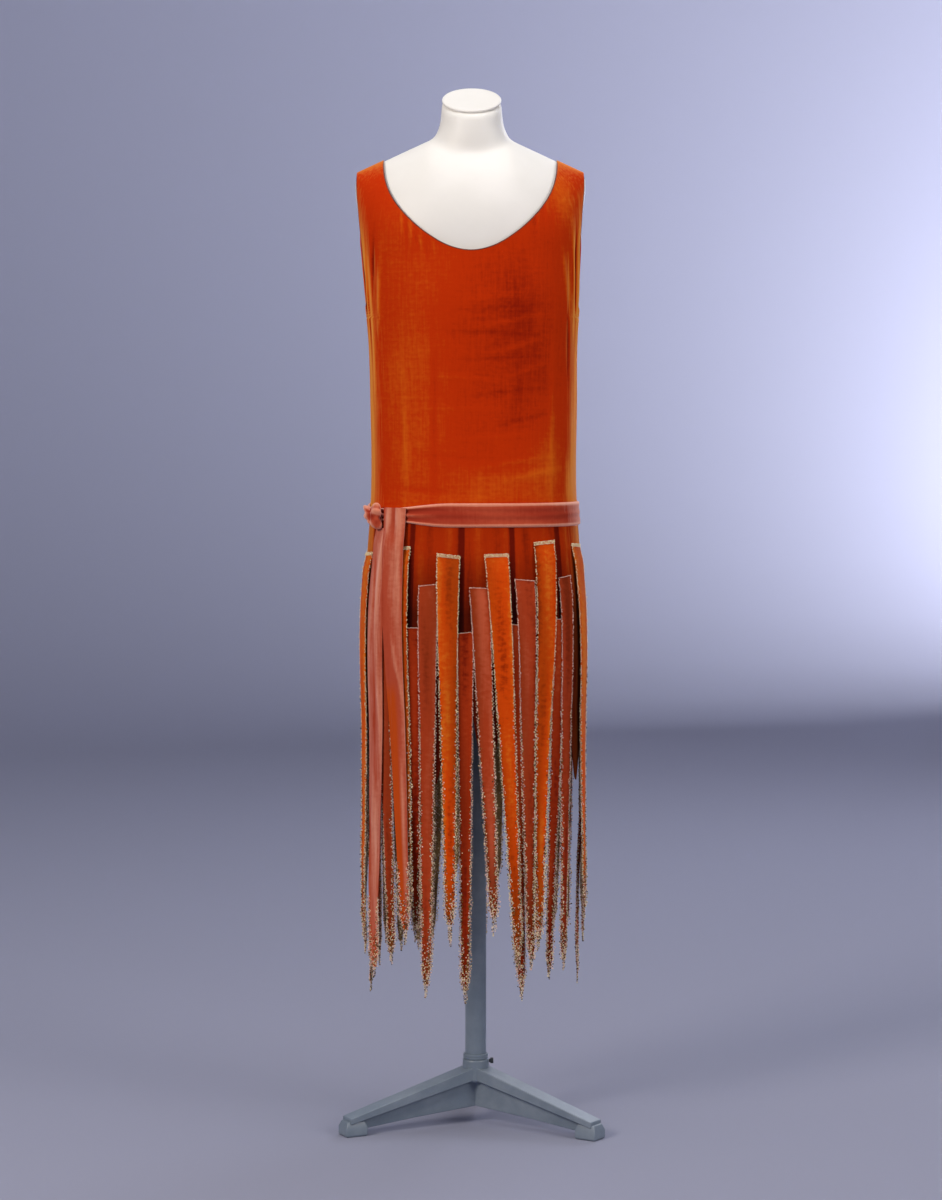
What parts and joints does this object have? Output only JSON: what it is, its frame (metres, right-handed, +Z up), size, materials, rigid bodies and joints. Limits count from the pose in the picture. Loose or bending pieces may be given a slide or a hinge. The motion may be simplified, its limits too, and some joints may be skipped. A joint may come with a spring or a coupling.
{
  "type": "evening dress on a limbless dress form",
  "caption": "Straight sleeveless low-waisted velvet evening dress with a tied hip sash and a skirt of hanging bead-edged streamers, on a limbless form with a three-legged stand",
  "frame": {"origin": "on the floor, at the middle of the footprint of the three-legged stand", "axes": "+Z up, the front of the dress faces -Y, +X is the wearer's left"},
  "size_m": [0.39, 0.3507, 1.5364],
  "materials": {
    "velvet_orange": "silk velvet, deep orange, crushed pile with golden sheen",
    "velvet_pink": "silk velvet, coral pink pile",
    "velvet_rose": "silk velvet, deep rose pile",
    "glass_beads": "small clear and gold glass beads",
    "form_white": "smooth matt white covering",
    "stand_grey": "satin blue-grey enamel"
  },
  "bodies": {
    "root": {"form_torso": "form_white", "form_neck_cap": "form_white", "stand_pole": "stand_grey", "stand_collar": "stand_grey", "stand_base": "stand_grey", "stand_clamp_screw": "stand_grey", "bodice_front": "velvet_orange", "bodice_back": "velvet_orange", "skirt_front": "velvet_orange", "skirt_back": "velvet_orange", "sash_band": "velvet_pink", "sash_knot": "velvet_pink", "sash_tail_front": "velvet_pink", "sash_tail_rear": "velvet_pink", "streamer_orange_front_1": "velvet_orange", "streamer_orange_front_2": "velvet_orange", "streamer_orange_front_3": "velvet_orange", "streamer_orange_front_4": "velvet_orange", "streamer_orange_front_5": "velvet_orange", "streamer_orange_front_6": "velvet_orange", "streamer_orange_back_1": "velvet_orange", "streamer_orange_back_2": "velvet_orange", "streamer_orange_back_3": "velvet_orange", "streamer_orange_back_4": "velvet_orange", "streamer_orange_back_5": "velvet_orange", "streamer_orange_back_6": "velvet_orange", "streamer_pink_front_1": "velvet_pink", "streamer_pink_front_2": "velvet_pink", "streamer_pink_front_3": "velvet_pink", "streamer_pink_front_4": "velvet_pink", "streamer_pink_front_5": "velvet_pink", "streamer_pink_front_6": "velvet_pink", "streamer_pink_back_1": "velvet_pink", "streamer_pink_back_2": "velvet_pink", "streamer_pink_back_3": "velvet_pink", "streamer_pink_back_4": "velvet_pink", "streamer_pink_back_5": "velvet_pink", "streamer_pink_back_6": "velvet_pink", "streamer_rose_front_1": "velvet_rose", "streamer_rose_front_2": "velvet_rose", "streamer_rose_front_3": "velvet_rose", "streamer_rose_front_4": "velvet_rose", "streamer_rose_front_5": "velvet_rose", "streamer_rose_front_6": "velvet_rose", "streamer_rose_back_1": "velvet_rose", "streamer_rose_back_2": "velvet_rose", "streamer_rose_back_3": "velvet_rose", "streamer_rose_back_4": "velvet_rose", "streamer_rose_back_5": "velvet_rose", "streamer_rose_back_6": "velvet_rose", "fringe_sash_tail_front": "glass_beads", "fringe_sash_tail_rear": "glass_beads", "fringe_orange_front_3": "glass_beads", "fringe_orange_front_4": "glass_beads", "fringe_orange_front_5": "glass_beads", "fringe_pink_front_2": "glass_beads", "fringe_pink_front_3": "glass_beads", "fringe_pink_front_5": "glass_beads", "fringe_rose_front_3": "glass_beads", "fringe_rose_front_4": "glass_beads"}
  },
  "joints": []
}
